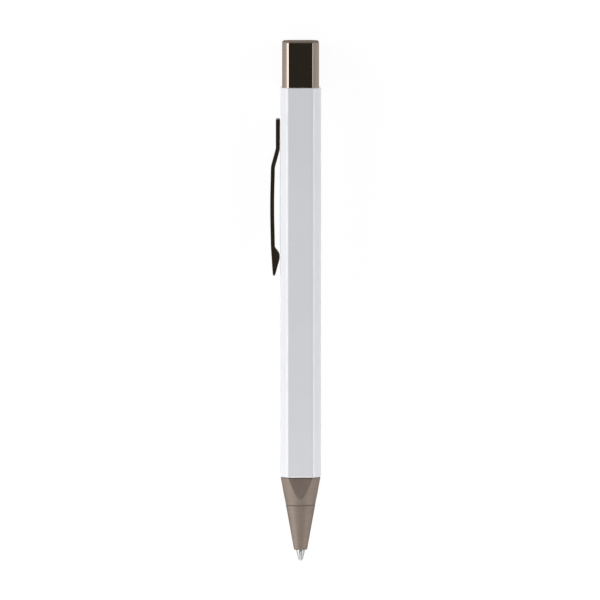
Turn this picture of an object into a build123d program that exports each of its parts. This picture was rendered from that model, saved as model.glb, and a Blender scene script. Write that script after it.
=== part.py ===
from build123d import *
import math
import os

# A push-button ballpoint pen, lying on one flat of its eight-sided barrel, in millimetres.
# Every piece is drawn upright on the Z axis, with heights counted up from the ball at the
# writing end while the point is out, and is laid down last: nose to -Y, clip to -X, +Z up.

# Lengths along the pen
POINT_EXPOSED = 3.0
NOSE_CONE_LENGTH = 12.2
COLLAR_LENGTH = 7.75
BARREL_LENGTH = 104.85
BUTTON_EXPOSED = 12.45

# Barrel section, a square with its corners cut off
BARREL_FLATS = 11.1
BARREL_CHAMFER = 2.12
BARREL_EDGE_RADIUS = 1.1
BARREL_RIM_RADIUS = 0.25
BARREL_WALL = 0.5
BORE_EDGE_RADIUS = 0.2

# Fits, stops and cuts
FIT_GAP = 0.03
SLIDE_CLEARANCE = 0.1
STOP_GAP = 0.3
OVERRUN = 1.0

# Travel of the button: back to the retracted place, and a little further in to click
RETRACT_TRAVEL = 5.0
PRESS_TRAVEL = 1.2

# Nose collar, fixed in the barrel, and nose cone, screwed into the collar
COLLAR_INSET = 0.22
COLLAR_CORNER_INSET = 0.07
COLLAR_NECK = 0.25
COLLAR_SPIGOT_LENGTH = 6.0
FACET_LENGTH = 6.15
FACET_RELIEF = 0.03
PARTING_DIAMETER = 7.92
PARTING_BREAK = 0.12
MOUTH_DIAMETER = 3.55
MOUTH_RADIUS = 0.25
NOSE_BORE_LENGTH = 6.2
NOSE_SPIGOT_LENGTH = 5.0
THREAD_DIAMETER = 6.0
THREAD_DEPTH = 0.2
THREAD_PITCH = 0.8
THREAD_CREST = 0.2

# Refill: plastic tube, metal point, ball and ink
BALL_DIAMETER = 1.0
BALL_EXPOSED = 0.28
BALL_CLEARANCE = 0.02
POINT_RIM_DIAMETER = 1.2
POINT_DIAMETER = 2.3
POINT_CONE_LENGTH = 2.3
POINT_CLEARANCE = 0.13
POINT_TAIL_LENGTH = 4.0
INK_CHANNEL_DIAMETER = 0.6
INK_LENGTH = 68.0
TUBE_DIAMETER = 3.0
TUBE_BORE = 2.0
EAR_SPAN = 4.4
EAR_THICKNESS = 0.9
EAR_HEIGHT = 1.6

# Return spring, between the shoulder in the nose and the ears of the refill
SPRING_WIRE = 0.4
SPRING_CLEARANCE = 0.2
SPRING_LENGTH = 17.8
SPRING_TURNS = 15
SPRING_SEAT_GAP = 0.05
POINTS_PER_TURN = 24

# Click mechanism under the button: guide sleeve, thrust cam and turning cam
GUIDE_SETBACK = 0.3
GUIDE_LENGTH = 17.0
GUIDE_BORE = 7.2
GUIDE_FLANGE = 1.2
RIB_BORE = 5.6
SLOT_COUNT = 4
SLOT_WIDTH = 2.2
RAMP_ANGLE = 25.0
KEY_LENGTH = 2.0
CAM_GAP = 0.1
TOOTH_COUNT = 8
TOOTH_HEIGHT = 0.9
TOOTH_FILL_SHARE = 0.8
THRUST_BORE = 3.4
THRUST_CAP = 2.0
FIN_LENGTH = 3.0
PILOT_LENGTH = 3.0
ROTOR_WEB = 2.5
SOCKET_DEPTH = 4.5

# Push button
BUTTON_EDGE_RADIUS = 0.4
BUTTON_RIM_RADIUS = 0.35
BUTTON_BORE_DEPTH = 12.0

# Spring clip, a bent strip hooked into the barrel wall
CLIP_DROP = 8.5
CLIP_LENGTH = 42.25
CLIP_WIDTH = 5.4
CLIP_FOOT_WIDTH = 4.4
CLIP_THICKNESS = 1.07
CLIP_SEAT_LENGTH = 8.2
CLIP_RAMP_LENGTH = 4.85
CLIP_STANDOFF = 1.32
CLIP_BEND_RADIUS = 3.0
CLIP_BOW = 0.25
CLIP_BOW_RADIUS = 200.0
CLIP_BOW_SHARE = 0.6
CLIP_SEAT_GAP = 0.02
CLIP_CORNER_RADIUS = 0.5
CLIP_TOP_RADIUS = 0.4
CLIP_TAIL_LENGTH = 5.6
CLIP_NUB_RADIUS = 2.6
CLIP_NUB_LEAD_ANGLE = 37.0
CLIP_TAIL_DIP = 0.52
CLIP_TIP_THICKNESS = 0.55
CLIP_TIP_RADIUS = 0.2
TONGUE_DROP = 0.9
TONGUE_WIDTH = 3.0
TONGUE_THICKNESS = 0.8
TONGUE_REACH = 1.5
HOOK_THICKNESS = 0.5
HOOK_LENGTH = 1.0
SLOT_CLEARANCE = 0.15

# Heights that follow from the lengths
MOUTH = POINT_EXPOSED
SHOULDER = MOUTH + NOSE_BORE_LENGTH
PARTING = MOUTH + NOSE_CONE_LENGTH
NOSE_SPIGOT_TOP = PARTING + NOSE_SPIGOT_LENGTH
BARREL_FOOT = PARTING + COLLAR_LENGTH
BARREL_HEAD = BARREL_FOOT + BARREL_LENGTH
BARREL_MIDDLE = (BARREL_FOOT + BARREL_HEAD) / 2
BUTTON_TOP = BARREL_HEAD + BUTTON_EXPOSED
CLIP_TOP = BARREL_HEAD - CLIP_DROP
CLIP_FOOT = CLIP_TOP - CLIP_LENGTH
TONGUE_HEAD = CLIP_TOP - TONGUE_DROP
TONGUE_FOOT = TONGUE_HEAD - TONGUE_THICKNESS
GUIDE_TOP = CLIP_TOP - GUIDE_SETBACK
GUIDE_FOOT = GUIDE_TOP - GUIDE_LENGTH
BUTTON_FOOT = GUIDE_TOP + PRESS_TRAVEL + STOP_GAP
SLOT_TOP = GUIDE_TOP - GUIDE_FLANGE
KEY_TOP = SLOT_TOP - RETRACT_TRAVEL - STOP_GAP
KEY_FOOT = KEY_TOP - KEY_LENGTH
CROWN_FOOT = KEY_FOOT - TOOTH_HEIGHT - CAM_GAP
FIN_FOOT = CROWN_FOOT - FIN_LENGTH
SOCKET_FLOOR = CROWN_FOOT - ROTOR_WEB
ROTOR_FOOT = SOCKET_FLOOR - SOCKET_DEPTH
THRUST_TOP = BUTTON_FOOT + BUTTON_BORE_DEPTH - FIT_GAP
TUBE_FOOT = SHOULDER + PRESS_TRAVEL + STOP_GAP
TUBE_TOP = SOCKET_FLOOR - FIT_GAP
EAR_FOOT = SHOULDER + SPRING_LENGTH
TAIL_TOP = TUBE_FOOT + POINT_TAIL_LENGTH

# Sizes of mating pieces that follow from their fits
BARREL_FACE = BARREL_FLATS / 2
CORNER_FACE = (BARREL_FLATS - BARREL_CHAMFER) / math.sqrt(2)
CHAMFER_SHRINK_SHARE = 2 - math.sqrt(2)
SPRING_DIAMETER = TUBE_DIAMETER + 2 * SPRING_CLEARANCE + SPRING_WIRE
SPRING_CHAMBER = SPRING_DIAMETER + SPRING_WIRE + 2 * SPRING_CLEARANCE
COLLAR_BORE = THREAD_DIAMETER + 2 * SLIDE_CLEARANCE
NOSE_BORE = POINT_DIAMETER + 2 * POINT_CLEARANCE
CAM_DIAMETER = RIB_BORE - 2 * SLIDE_CLEARANCE
FIN_DIAMETER = GUIDE_BORE - 2 * SLIDE_CLEARANCE
FIN_WIDTH = SLOT_WIDTH - 2 * SLIDE_CLEARANCE
PILOT_DIAMETER = THRUST_BORE - 2 * SLIDE_CLEARANCE
SLOT_ANGLE = 360 / SLOT_COUNT
QUARTER_TURN = 90


def octagon(inset, edge_radius):
    """The barrel's eight-sided outline, moved inwards all round by the inset."""
    flats = BARREL_FLATS - 2 * inset
    leg = BARREL_CHAMFER - CHAMFER_SHRINK_SHARE * inset
    outline = chamfer(Rectangle(flats, flats).vertices(), leg)
    return fillet(outline.vertices(), edge_radius)


def prism(outline, foot, head):
    """The outline drawn up from one height to another."""
    return Pos(0, 0, foot) * extrude(outline, head - foot)


def rod(diameter, foot, head):
    """A round bar on the axis."""
    return prism(Circle(diameter / 2), foot, head)


def turned(outline):
    """The solid that an outline of (radius, height) points makes about the axis."""
    return revolve(Plane.XZ * make_face(Polyline(*outline, close=True)), axis=Axis.Z)


def block(low, high):
    """A box between two opposite corners."""
    size = [b - a for a, b in zip(low, high)]
    corner = (Align.MIN, Align.MIN, Align.MIN)
    return Pos(*low) * Box(*size, align=corner)


def around(piece, count, start=0):
    """Copies of a piece, evenly spaced about the axis."""
    return [Rot(0, 0, start + 360 * i / count) * piece for i in range(count)]


def spokes(width, diameter, foot, head):
    """Four keys that stand out from the axis to a round outer face."""
    spoke = block((0, -width / 2, foot), (diameter, width / 2, head))
    limit = rod(diameter, foot, head)
    return [limit & copy for copy in around(spoke, SLOT_COUNT)]


def crown_teeth(foot, rise, start=0):
    """A ring of pointed teeth that stand up, or hang down, from a height."""
    half_angle = math.pi / (2 * TOOTH_COUNT)
    half_width = TOOTH_FILL_SHARE * THRUST_BORE * math.tan(half_angle)
    side = Plane(origin=(0, 0, foot), x_dir=(0, 1, 0), z_dir=(1, 0, 0))
    triangle = make_face(Polyline((-half_width, 0), (half_width, 0), (0, rise), close=True))
    tooth = extrude(side * triangle, CAM_DIAMETER)
    low, high = sorted((foot, foot + rise))
    ring = rod(CAM_DIAMETER, low, high) - rod(THRUST_BORE, low, high)
    return [ring & copy for copy in around(tooth, TOOTH_COUNT, start)]


def barrel_tube():
    """The eight-sided aluminium tube, with the slot for the clip's tongue."""
    shell = prism(octagon(0, BARREL_EDGE_RADIUS), BARREL_FOOT, BARREL_HEAD)
    levels = shell.edges().group_by(Axis.Z)
    shell = fillet(levels[0] + levels[-1], BARREL_RIM_RADIUS)
    bore = prism(octagon(BARREL_WALL, BORE_EDGE_RADIUS), BARREL_FOOT, BARREL_HEAD)
    half_slot = TONGUE_WIDTH / 2 + SLOT_CLEARANCE
    slot = block(
        (-BARREL_FACE - OVERRUN, -half_slot, TONGUE_FOOT - SLOT_CLEARANCE),
        (-BARREL_FACE + BARREL_WALL + OVERRUN, half_slot, TONGUE_HEAD + SLOT_CLEARANCE),
    )
    return shell - bore - slot


def collar_radius(height):
    """Half the collar across its flats, which taper evenly down to the parting line."""
    top = BARREL_FACE - COLLAR_INSET
    foot = PARTING_DIAMETER / 2
    return foot + (top - foot) * (height - PARTING) / COLLAR_LENGTH


def nose_collar():
    """The fixed nose ring: a narrow neck, then four sloping facets that run out into a cone."""
    facet_foot = BARREL_FOOT - FACET_LENGTH
    cone = turned(
        [
            (0, PARTING),
            (collar_radius(PARTING) - PARTING_BREAK, PARTING),
            (collar_radius(PARTING + PARTING_BREAK), PARTING + PARTING_BREAK),
            (collar_radius(facet_foot), facet_foot),
            (CORNER_FACE - COLLAR_CORNER_INSET, BARREL_FOOT),
            (0, BARREL_FOOT),
        ]
    )
    squares = []
    for height in (PARTING, BARREL_FOOT):
        side = 2 * (collar_radius(height) + FACET_RELIEF)
        squares.append(Pos(0, 0, height) * Rectangle(side, side))
    neck_foot = BARREL_FOOT - COLLAR_NECK
    limit = rod(2 * CORNER_FACE, PARTING, neck_foot)
    spigot_outline = octagon(BARREL_WALL + FIT_GAP, BORE_EDGE_RADIUS)
    spigot = prism(spigot_outline, neck_foot, BARREL_FOOT + COLLAR_SPIGOT_LENGTH)
    body = (cone & loft(squares) & limit) + spigot
    return body - rod(COLLAR_BORE, PARTING, BARREL_FOOT + COLLAR_SPIGOT_LENGTH)


def nose_cone():
    """The round nose that unscrews: tapered outside, stepped bore, threaded spigot."""
    thread_root = THREAD_DIAMETER / 2 - THREAD_DEPTH
    outline = [
        (0, MOUTH),
        (MOUTH_DIAMETER / 2 - MOUTH_RADIUS, MOUTH),
        (MOUTH_DIAMETER / 2, MOUTH + MOUTH_RADIUS),
        (PARTING_DIAMETER / 2, PARTING - PARTING_BREAK),
        (PARTING_DIAMETER / 2 - PARTING_BREAK, PARTING),
        (thread_root, PARTING),
    ]
    turns = int((NOSE_SPIGOT_LENGTH - THREAD_PITCH) / THREAD_PITCH)
    for turn in range(turns):
        foot = PARTING + THREAD_PITCH * (turn + 1 / 2)
        outline += [
            (thread_root, foot),
            (thread_root + THREAD_DEPTH, foot + THREAD_DEPTH / 2),
            (thread_root + THREAD_DEPTH, foot + THREAD_DEPTH / 2 + THREAD_CREST),
            (thread_root, foot + THREAD_DEPTH + THREAD_CREST),
        ]
    outline += [(thread_root, NOSE_SPIGOT_TOP), (0, NOSE_SPIGOT_TOP)]
    body = turned(outline)
    return body - rod(NOSE_BORE, MOUTH, SHOULDER) - rod(SPRING_CHAMBER, SHOULDER, NOSE_SPIGOT_TOP)


def writing_ball():
    """The ball that rolls in the point."""
    return Pos(0, 0, BALL_DIAMETER / 2) * Sphere(BALL_DIAMETER / 2)


def refill_tip():
    """The metal point, with its ball socket, ink channel and tail in the tube."""
    tail = TUBE_BORE / 2 - FIT_GAP
    body = turned(
        [
            (0, BALL_EXPOSED),
            (POINT_RIM_DIAMETER / 2, BALL_EXPOSED),
            (POINT_DIAMETER / 2, BALL_EXPOSED + POINT_CONE_LENGTH),
            (POINT_DIAMETER / 2, TUBE_FOOT - FIT_GAP),
            (tail, TUBE_FOOT - FIT_GAP),
            (tail, TAIL_TOP),
            (0, TAIL_TOP),
        ]
    )
    socket = Pos(0, 0, BALL_DIAMETER / 2) * Sphere(BALL_DIAMETER / 2 + BALL_CLEARANCE)
    return body - socket - rod(INK_CHANNEL_DIAMETER, BALL_DIAMETER / 2, TAIL_TOP)


def refill_tube():
    """The plastic ink tube, with two ears that the spring pushes on."""
    ears = block(
        (-EAR_SPAN / 2, -EAR_THICKNESS / 2, EAR_FOOT),
        (EAR_SPAN / 2, EAR_THICKNESS / 2, EAR_FOOT + EAR_HEIGHT),
    )
    return rod(TUBE_DIAMETER, TUBE_FOOT, TUBE_TOP) + ears - rod(TUBE_BORE, TUBE_FOOT, TUBE_TOP)


def ink_column():
    """The ink that fills the lower part of the tube."""
    foot = TAIL_TOP + FIT_GAP
    return rod(TUBE_BORE - 2 * FIT_GAP, foot, foot + INK_LENGTH)


def spring_point(turn):
    """The place and direction of the spring's wire after a number of turns."""
    foot = SHOULDER + SPRING_SEAT_GAP + SPRING_WIRE / 2
    climb = SPRING_LENGTH - 2 * SPRING_SEAT_GAP - SPRING_WIRE
    angle = 2 * math.pi * turn
    radius = SPRING_DIAMETER / 2
    place = Vector(radius * math.cos(angle), radius * math.sin(angle), foot + climb * turn / SPRING_TURNS)
    run = 2 * math.pi * radius
    return place, Vector(-run * math.sin(angle), run * math.cos(angle), climb / SPRING_TURNS).normalized()


def biarc(first, last):
    """Two tangent arcs that join two places with given directions."""
    (start, out), (end, into) = first, last
    chord = end - start
    both = out + into
    bend = 2 * (1 - out.dot(into))
    along = chord.dot(both)
    reach = (math.sqrt(along**2 + bend * chord.dot(chord)) - along) / bend
    middle = (start + out * reach + end - into * reach) / 2
    turn_over = end - into * reach - start - out * reach
    return [TangentArc(start, middle, tangent=out), TangentArc(middle, end, tangent=turn_over)]


def return_spring():
    """The coil spring, one unbroken wire of half-turn pairs of arcs."""
    places = [spring_point(half / 2) for half in range(2 * SPRING_TURNS + 1)]
    arcs = [arc for pair in zip(places, places[1:]) for arc in biarc(*pair)]
    path = Wire(arcs)
    start, out = places[0]
    wire = sweep(Plane(origin=start, z_dir=out) * Circle(SPRING_WIRE / 2), path=path)
    section = math.pi * SPRING_WIRE**2 / 4
    print("return_spring volume over section times length:", round(wire.volume / section / path.length, 4))
    print("return_spring least gap to itself, mm:", round(spring_self_gap(), 3))
    return wire


def spring_self_gap():
    """The least clear space between the spring's wire and its next turns."""
    count = POINTS_PER_TURN * SPRING_TURNS + 1
    points = [spring_point(i / POINTS_PER_TURN)[0] for i in range(count)]
    least = SPRING_LENGTH
    for i, place in enumerate(points):
        for other in points[i + POINTS_PER_TURN // 2:]:
            least = min(least, (other - place).length)
    return least - SPRING_WIRE


def cam_guide():
    """The sleeve in the barrel: four ribs with sloping feet, and the clip's pocket."""
    body = prism(octagon(BARREL_WALL + FIT_GAP, BORE_EDGE_RADIUS), GUIDE_FOOT, GUIDE_TOP)
    body -= rod(GUIDE_BORE, GUIDE_FOOT, SLOT_TOP)
    ribs = rod(GUIDE_BORE, KEY_FOOT - TOOTH_HEIGHT, SLOT_TOP)
    slots = spokes(SLOT_WIDTH, GUIDE_BORE, KEY_FOOT - TOOTH_HEIGHT, SLOT_TOP)
    cutter = Pos(GUIDE_BORE / 2, 0, KEY_FOOT - TOOTH_HEIGHT) * Rot(RAMP_ANGLE, 0, 0)
    cutter *= Box(GUIDE_BORE, GUIDE_BORE, GUIDE_BORE, align=(Align.CENTER, Align.CENTER, Align.MAX))
    body += ribs - slots - around(cutter, SLOT_COUNT, SLOT_ANGLE / 2)
    half_pocket = TONGUE_WIDTH / 2 + SLOT_CLEARANCE
    pocket = block(
        (-BARREL_FACE, -half_pocket, TONGUE_FOOT - HOOK_LENGTH - SLOT_CLEARANCE),
        (-BARREL_FACE + TONGUE_REACH + SLOT_CLEARANCE, half_pocket, TONGUE_HEAD + SLOT_CLEARANCE),
    )
    return body - pocket - rod(RIB_BORE, GUIDE_FOOT, GUIDE_TOP)


def thrust_cam():
    """The plunger under the button: a tube with four keys and a toothed foot."""
    body = rod(CAM_DIAMETER, KEY_FOOT, THRUST_TOP)
    body += spokes(FIN_WIDTH, FIN_DIAMETER, KEY_FOOT, KEY_TOP)
    body -= rod(THRUST_BORE, KEY_FOOT, THRUST_TOP - THRUST_CAP)
    return body + crown_teeth(KEY_FOOT, -TOOTH_HEIGHT, start=180 / TOOTH_COUNT)


def cam_rotor():
    """The cam that turns on each click: four fins, a toothed crown and the refill's socket."""
    fins = spokes(FIN_WIDTH, FIN_DIAMETER, FIN_FOOT, CROWN_FOOT)
    cutter = Pos(GUIDE_BORE / 2, 0, CROWN_FOOT - FIN_WIDTH / 2) * Rot(RAMP_ANGLE, 0, 0)
    cutter *= Box(GUIDE_BORE, GUIDE_BORE, GUIDE_BORE, align=(Align.CENTER, Align.CENTER, Align.MIN))
    body = rod(CAM_DIAMETER, ROTOR_FOOT, CROWN_FOOT) + (fins[0].fuse(*fins[1:]) - around(cutter, SLOT_COUNT))
    body += rod(PILOT_DIAMETER, CROWN_FOOT, CROWN_FOOT + PILOT_LENGTH)
    body += crown_teeth(CROWN_FOOT, TOOTH_HEIGHT)
    return body - rod(TUBE_DIAMETER + 2 * FIT_GAP, ROTOR_FOOT, SOCKET_FLOOR)


def push_button():
    """The eight-sided button, drilled from below for the plunger."""
    outline = octagon(BARREL_WALL + SLIDE_CLEARANCE, BUTTON_EDGE_RADIUS)
    body = prism(outline, BUTTON_FOOT, BUTTON_TOP)
    body = fillet(body.edges().group_by(Axis.Z)[-1], BUTTON_RIM_RADIUS)
    return body - rod(CAM_DIAMETER + 2 * FIT_GAP, BUTTON_FOOT, BUTTON_FOOT + BUTTON_BORE_DEPTH)


def clip_profile():
    """The clip seen from its edge: seat, ramp, arm and the nub that grips."""
    lead = math.radians(CLIP_NUB_LEAD_ANGLE)
    seat_foot = CLIP_TOP - CLIP_SEAT_LENGTH
    arm_head = seat_foot - CLIP_RAMP_LENGTH
    nub = CLIP_FOOT + CLIP_TAIL_LENGTH
    inner = -BARREL_FACE - CLIP_SEAT_GAP
    outer = inner - CLIP_THICKNESS
    arm_inner = inner - CLIP_STANDOFF
    arm_outer = outer - CLIP_STANDOFF
    tip_outer = arm_outer + CLIP_TAIL_DIP
    tip_inner = tip_outer + CLIP_TIP_THICKNESS
    trail = math.atan((inner - tip_inner) / CLIP_TAIL_LENGTH)
    sharp_nub = inner + CLIP_NUB_RADIUS * ((math.sin(lead) + math.sin(trail)) / math.sin(lead + trail) - 1)
    arm_foot = nub + (sharp_nub - arm_inner) / math.tan(lead)
    arm_middle = (arm_head + arm_foot) / 2
    half_arm = arm_head - arm_middle
    # The bow's rounding takes up no more than its share of the arm
    bow_radius = min(CLIP_BOW_RADIUS, CLIP_BOW_SHARE * half_arm**2 / CLIP_BOW)
    bend_shift = CLIP_THICKNESS * math.tan(math.atan(CLIP_STANDOFF / CLIP_RAMP_LENGTH) / 2)
    corners = [
        ((inner, CLIP_TOP), 0),
        ((outer, CLIP_TOP), CLIP_TOP_RADIUS),
        ((outer, seat_foot + bend_shift), CLIP_BEND_RADIUS),
        ((arm_outer, arm_head + bend_shift), CLIP_BEND_RADIUS + CLIP_THICKNESS),
        ((arm_outer - CLIP_BOW, arm_middle), bow_radius),
        ((arm_outer, arm_foot), CLIP_BEND_RADIUS + CLIP_THICKNESS),
        ((tip_outer, CLIP_FOOT), CLIP_TIP_RADIUS),
        ((tip_inner, CLIP_FOOT), CLIP_TIP_RADIUS),
        ((sharp_nub, nub), CLIP_NUB_RADIUS),
        ((arm_inner, arm_foot), CLIP_TIP_RADIUS),
        ((arm_inner - CLIP_BOW, arm_middle), bow_radius - CLIP_THICKNESS),
        ((arm_inner, arm_head), CLIP_BEND_RADIUS),
        ((inner, seat_foot), CLIP_BEND_RADIUS + CLIP_THICKNESS),
    ]
    face = make_face(Polyline(*[place for place, _ in corners], close=True))
    for place, radius in corners:
        if radius:
            vertex = face.vertices().sort_by_distance((*place, 0))[0]
            face = fillet(vertex, radius)
    return face


def clip():
    """The spring clip, with its tongue and hook through the barrel wall."""
    strip = extrude(Plane.XZ * clip_profile(), CLIP_WIDTH, both=True)
    plan = make_face(
        Polyline(
            (-CLIP_WIDTH / 2, CLIP_TOP),
            (CLIP_WIDTH / 2, CLIP_TOP),
            (CLIP_FOOT_WIDTH / 2, CLIP_FOOT),
            (-CLIP_FOOT_WIDTH / 2, CLIP_FOOT),
            close=True,
        )
    )
    plan = fillet(plan.vertices(), CLIP_CORNER_RADIUS)
    strip &= extrude(Plane.YZ * plan, BARREL_FLATS, both=True)
    half_tongue = TONGUE_WIDTH / 2
    hook_face = -BARREL_FACE + TONGUE_REACH
    tongue = block(
        (-BARREL_FACE - CLIP_SEAT_GAP - CLIP_THICKNESS / 2, -half_tongue, TONGUE_FOOT),
        (hook_face, half_tongue, TONGUE_HEAD),
    )
    hook = block(
        (hook_face - HOOK_THICKNESS, -half_tongue, TONGUE_FOOT - HOOK_LENGTH),
        (hook_face, half_tongue, TONGUE_HEAD),
    )
    return strip + tongue + hook


def laid_down(piece):
    """The piece with the pen's axis along Y and the barrel's lower flat on the ground."""
    return Pos(0, -BARREL_MIDDLE, BARREL_FACE) * Rot(-QUARTER_TURN, 0, 0) * piece


PIECES = [
    barrel_tube,
    nose_collar,
    nose_cone,
    cam_guide,
    thrust_cam,
    cam_rotor,
    push_button,
    clip,
    refill_tube,
    refill_tip,
    writing_ball,
    ink_column,
    return_spring,
]

os.makedirs("parts", exist_ok=True)
for piece in PIECES:
    export_step(laid_down(piece()), f"parts/{piece.__name__}.step")
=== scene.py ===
"""The looks of a push-button ballpoint pen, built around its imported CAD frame.

The pen lies on one flat of its eight-sided barrel: point to -Y, clip to -X, +Z up, in metres.
Each sub-assembly is a class that models its visible pieces and dresses them in a finish.
"""

import logging
import math
from collections.abc import Callable, Sequence
from dataclasses import dataclass
from enum import Enum

import bmesh
import bpy
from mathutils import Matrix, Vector


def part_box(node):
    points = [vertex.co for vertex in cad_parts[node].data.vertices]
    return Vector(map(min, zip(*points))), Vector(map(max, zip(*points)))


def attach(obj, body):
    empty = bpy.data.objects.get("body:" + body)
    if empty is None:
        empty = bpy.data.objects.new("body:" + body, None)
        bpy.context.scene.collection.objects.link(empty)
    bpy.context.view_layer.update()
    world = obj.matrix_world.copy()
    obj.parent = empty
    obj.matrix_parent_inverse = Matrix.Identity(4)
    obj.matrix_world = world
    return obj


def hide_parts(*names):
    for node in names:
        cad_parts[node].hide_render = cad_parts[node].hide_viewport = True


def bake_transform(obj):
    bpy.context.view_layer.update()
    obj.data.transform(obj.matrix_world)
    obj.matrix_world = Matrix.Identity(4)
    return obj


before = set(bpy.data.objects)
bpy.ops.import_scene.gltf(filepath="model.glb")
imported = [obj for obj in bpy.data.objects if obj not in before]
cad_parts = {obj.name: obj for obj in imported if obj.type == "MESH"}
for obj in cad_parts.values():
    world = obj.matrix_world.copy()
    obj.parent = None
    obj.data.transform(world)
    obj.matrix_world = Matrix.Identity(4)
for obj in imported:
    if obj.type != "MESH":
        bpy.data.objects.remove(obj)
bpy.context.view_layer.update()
LOG = logging.getLogger("pen")

MM = 0.001
FULL_TURN = 2 * math.pi
EIGHTH_TURN = math.pi / 4
ALONG = Vector((0, 1, 0))
MERGE_DISTANCE = 0.0005 * MM

BARREL_LOW, BARREL_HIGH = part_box("barrel_tube")
AXIS_Z = (BARREL_LOW.z + BARREL_HIGH.z) / 2
AXIS = Vector((0, 0, AXIS_Z))

# How many faces go round a turned piece
SMALL_TURN, PLAIN_TURN, ROUND_TURN, FINE_TURN, FINEST_TURN = 48, 64, 96, 128, 160
# How many faces go across a rounding, and the sections of a bevel
BREAK_SEGMENTS, RIM_SEGMENTS, EDGE_SEGMENTS, CORNER_SEGMENTS, BALL_SEGMENTS = 3, 4, 6, 10, 24
FLAT_PROFILE, ROUND_PROFILE = 0.25, 0.5
# How much of a direction lies along an axis that it follows, nearly follows or leans to
STRAIGHT, NEARLY_STRAIGHT, LEANING = 0.99, 0.97, 0.3
# A noise's middle, and the stretch round it that holds most of the noise
NOISE_MIDDLE = 0.5
NOISE_SPAN = (0.3, 0.7)

Colour = tuple[float, float, float]
Span = tuple[float, float]
WHITE: Colour = (1.0, 1.0, 1.0)


class Element(Enum):
    """What a selection in edit mode is made of."""

    VERT = "verts"
    EDGE = "edges"
    FACE = "faces"


class Merge(Enum):
    """How a second shape acts on the first one."""

    ADD = "UNION"
    CUT = "DIFFERENCE"
    COMMON = "INTERSECT"


class Grain(Enum):
    """Which way the marks of a metal's last polish run."""

    ALONG = "along the pen"
    AROUND = "around the axis"


class Value:
    """A shader socket that takes part in Python sums."""

    def __init__(self, graph: "Graph", socket: bpy.types.NodeSocket) -> None:
        """Keeps the socket and the graph that new nodes go to."""
        self.graph = graph
        self.socket = socket

    def _sum(self, operation: str, first: "Value | float", second: "Value | float") -> "Value":
        """The result of a Math node with two values."""
        return self.graph.node("ShaderNodeMath", {"operation": operation}, {0: first, 1: second})

    def __add__(self, other: "Value | float") -> "Value":
        """self + other"""
        return self._sum("ADD", self, other)

    def __radd__(self, other: float) -> "Value":
        """other + self"""
        return self._sum("ADD", other, self)

    def __sub__(self, other: "Value | float") -> "Value":
        """self - other"""
        return self._sum("SUBTRACT", self, other)

    def __rsub__(self, other: float) -> "Value":
        """other - self"""
        return self._sum("SUBTRACT", other, self)

    def __mul__(self, other: "Value | float") -> "Value":
        """self * other"""
        return self._sum("MULTIPLY", self, other)

    def __rmul__(self, other: float) -> "Value":
        """other * self"""
        return self._sum("MULTIPLY", other, self)

    def __neg__(self) -> "Value":
        """-self"""
        return self._sum("MULTIPLY", self, -1.0)

    def larger(self, other: "Value | float") -> "Value":
        """The larger of two values."""
        return self._sum("MAXIMUM", self, other)

    def swing(self, amount: float) -> "Value":
        """A noise as a change to both sides of zero."""
        return (self - NOISE_MIDDLE) * amount

    def ramp(self, span: Span) -> "Value":
        """Turns a span of this value smoothly into 0 to 1. Its end may be below its beginning."""
        settings = {"interpolation_type": "SMOOTHSTEP"}
        return self.graph.node("ShaderNodeMapRange", settings, {0: self, 1: span[0], 2: span[1]})


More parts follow.
